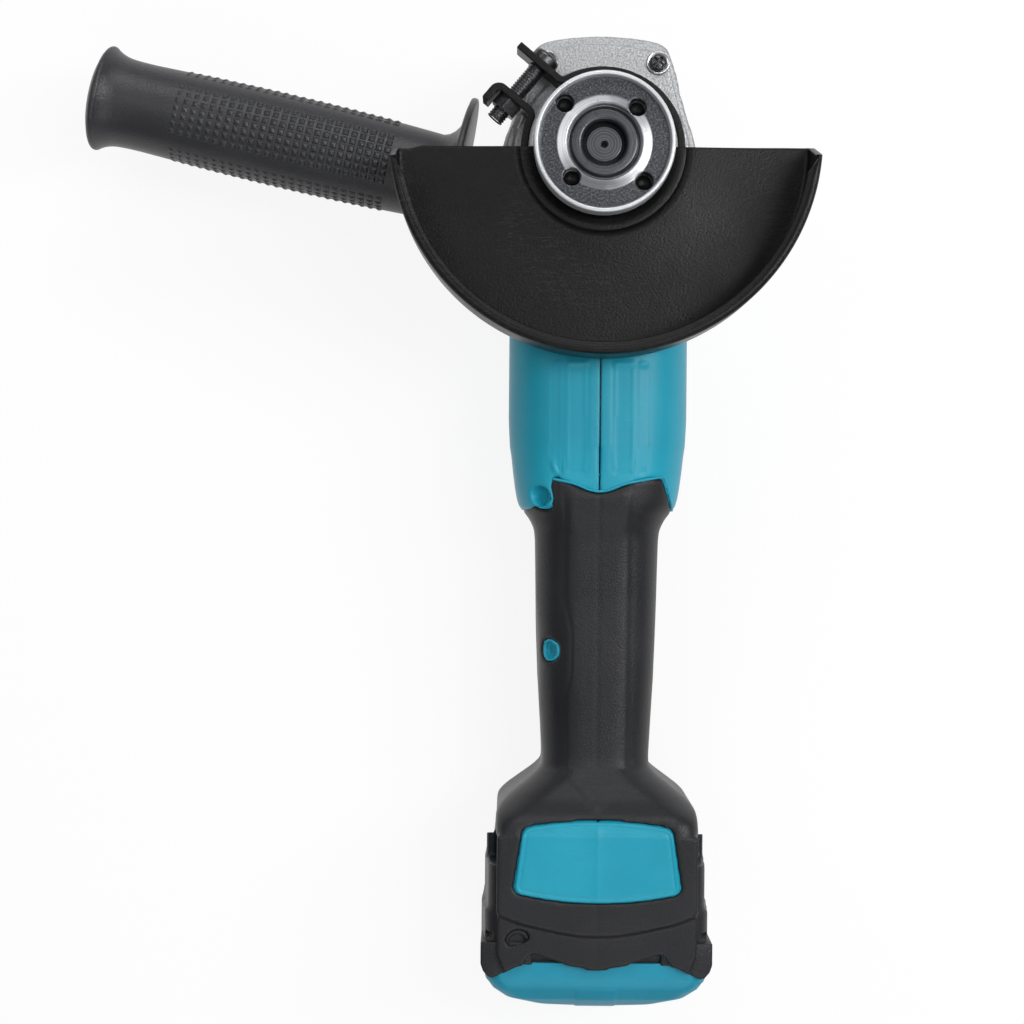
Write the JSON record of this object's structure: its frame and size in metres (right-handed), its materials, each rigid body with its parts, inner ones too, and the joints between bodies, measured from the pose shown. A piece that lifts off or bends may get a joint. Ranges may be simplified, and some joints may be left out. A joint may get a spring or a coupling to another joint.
{
  "type": "angle grinder",
  "caption": "Cordless angle grinder with a half-round disc guard, side handle, slide switch and slide-on battery.",
  "frame": {"origin": "on the spindle axis, in the plane of the gear case's flat back, which rests on the bench", "axes": "+Z along the spindle to the disc side, +Y along the motor axis to the nose with the battery at -Y, side handle at -X"},
  "size_m": [0.2396, 0.3214, 0.082],
  "materials": {
    "cast_case": "fine sand-cast, bead-blasted",
    "dark_screws": "black oxide",
    "bearing_steel": "ground",
    "turned_steel": "turned",
    "gear_steel": "hardened and ground",
    "plated_nut": "plated, forged face",
    "black_sheet": "satin black paint with worn edges",
    "handle_rubber": "matt, with a pyramid grip pattern",
    "magnet": "sintered, coated",
    "inner_plastic": "moulded",
    "lamination": "stacked sheet",
    "copper_wire": "enamelled copper",
    "teal_plastic": "satin moulded",
    "black_overmould": "soft-touch, fine texture",
    "black_plastic": "moulded",
    "board": "potted circuit board",
    "terminal_brass": "stamped",
    "battery_black": "moulded, fine texture",
    "battery_teal": "satin moulded",
    "cell_can": "sleeved cell can"
  },
  "bodies": {
    "tool": {"gear_case": "cast_case", "gear_case_cover": "cast_case", "cover_screws": "dark_screws", "spindle_bearing": "bearing_steel", "needle_bearing": "bearing_steel", "bearing_retainer": "bearing_steel", "front_motor_bearing": "bearing_steel", "rear_motor_bearing": "bearing_steel", "stator_core": "lamination", "stator_windings": "copper_wire", "fan_baffle": "inner_plastic", "rear_bearing_holder": "inner_plastic", "motor_screws": "dark_screws", "left_housing": "teal_plastic", "right_housing": "teal_plastic", "left_grip_cover": "black_overmould", "right_grip_cover": "black_overmould", "housing_screws": "dark_screws", "switch_unit": "inner_plastic", "control_board": "board", "terminal_blades": "terminal_brass", "terminal_block": "black_plastic"},
    "spindle": {"spindle": "turned_steel", "bevel_wheel": "gear_steel", "inner_flange": "turned_steel"},
    "lock_nut": {"lock_nut": "plated_nut"},
    "rotor": {"rotor_shaft": "turned_steel", "magnet_rotor": "magnet", "cooling_fan": "inner_plastic", "pinion": "gear_steel"},
    "guard": {"guard_shell": "black_sheet", "guard_band": "black_sheet", "guard_clamp_screw": "dark_screws", "guard_clamp_nut": "dark_screws"},
    "handle": {"handle_stud": "turned_steel", "handle_grip": "handle_rubber"},
    "battery": {"battery_upper_case": "battery_black", "battery_lower_case": "battery_teal", "battery_cells": "cell_can", "cell_straps": "bearing_steel", "battery_contacts": "terminal_brass", "battery_screws": "dark_screws"},
    "battery_latch": {"battery_latch": "black_plastic"},
    "switch_knob": {"switch_knob": "black_plastic", "switch_link": "inner_plastic"},
    "lock_button": {"lock_button": "black_plastic", "lock_spring": "turned_steel"}
  },
  "joints": [
    {"name": "spindle_spin", "type": "hinge", "parent": "tool", "child": "spindle", "pos_m": [0, 0, 0.03], "axis": [0, 0, 1], "continuous": true},
    {"name": "rotor_spin", "type": "hinge", "parent": "tool", "child": "rotor", "pos_m": [0, -0.05, 0.03], "axis": [0, 1, 0], "continuous": true},
    {"name": "lock_nut_unscrew", "type": "slide", "parent": "spindle", "child": "lock_nut", "axis": [0, 0, 1], "range_m": [0, 0.014]},
    {"name": "guard_turn", "type": "hinge", "parent": "tool", "child": "guard", "pos_m": [0, 0, 0.06], "axis": [0, 0, 1], "range_deg": [-100, 65]},
    {"name": "handle_unscrew", "type": "slide", "parent": "tool", "child": "handle", "axis": [-0.9749, 0.2227, 0], "range_m": [0, 0.012]},
    {"name": "battery_slide", "type": "slide", "parent": "tool", "child": "battery", "axis": [0, 0, -1], "range_m": [0, 0.09]},
    {"name": "battery_latch_press", "type": "slide", "parent": "battery", "child": "battery_latch", "axis": [0, -1, 0], "range_m": [0, 0.0035], "stiffness_N_per_m": 800, "springref_m": -0.0015},
    {"name": "switch_slide", "type": "slide", "parent": "tool", "child": "switch_knob", "axis": [0, 1, 0], "range_m": [0, 0.005]},
    {"name": "lock_button_press", "type": "slide", "parent": "tool", "child": "lock_button", "axis": [0, 0, 1], "range_m": [0, 0.004], "stiffness_N_per_m": 1500, "springref_m": -0.002, "deforming": ["lock_spring"]}
  ],
  "couplings": [
    {"joint": "rotor_spin", "follows": "spindle_spin", "ratio": 3.3636}
  ]
}
